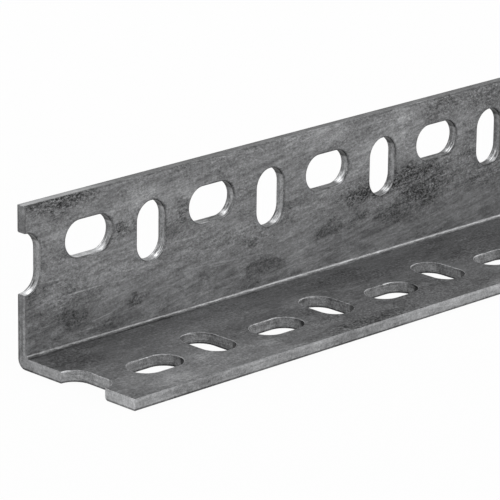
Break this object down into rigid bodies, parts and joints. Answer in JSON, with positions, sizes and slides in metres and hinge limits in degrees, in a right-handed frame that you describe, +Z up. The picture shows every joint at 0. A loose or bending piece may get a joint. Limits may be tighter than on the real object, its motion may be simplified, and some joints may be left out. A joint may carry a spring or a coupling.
{
  "type": "perforated steel angle",
  "caption": "Equal-leg galvanised steel angle with lengthwise and crosswise slots taking turns along both legs.",
  "frame": {"origin": "middle of the stock's bounding box, on the floor that the base leg lies on", "axes": "+X along the stock, away from the picture's near end; +Y towards the upright leg's outer back face; +Z up"},
  "size_m": [0.6096, 0.0382, 0.0381],
  "materials": {
    "galvanised_steel": "galvanised, dull grey, mottled and lightly scuffed"
  },
  "bodies": {
    "root": {"slotted_angle": "galvanised_steel"}
  },
  "joints": []
}
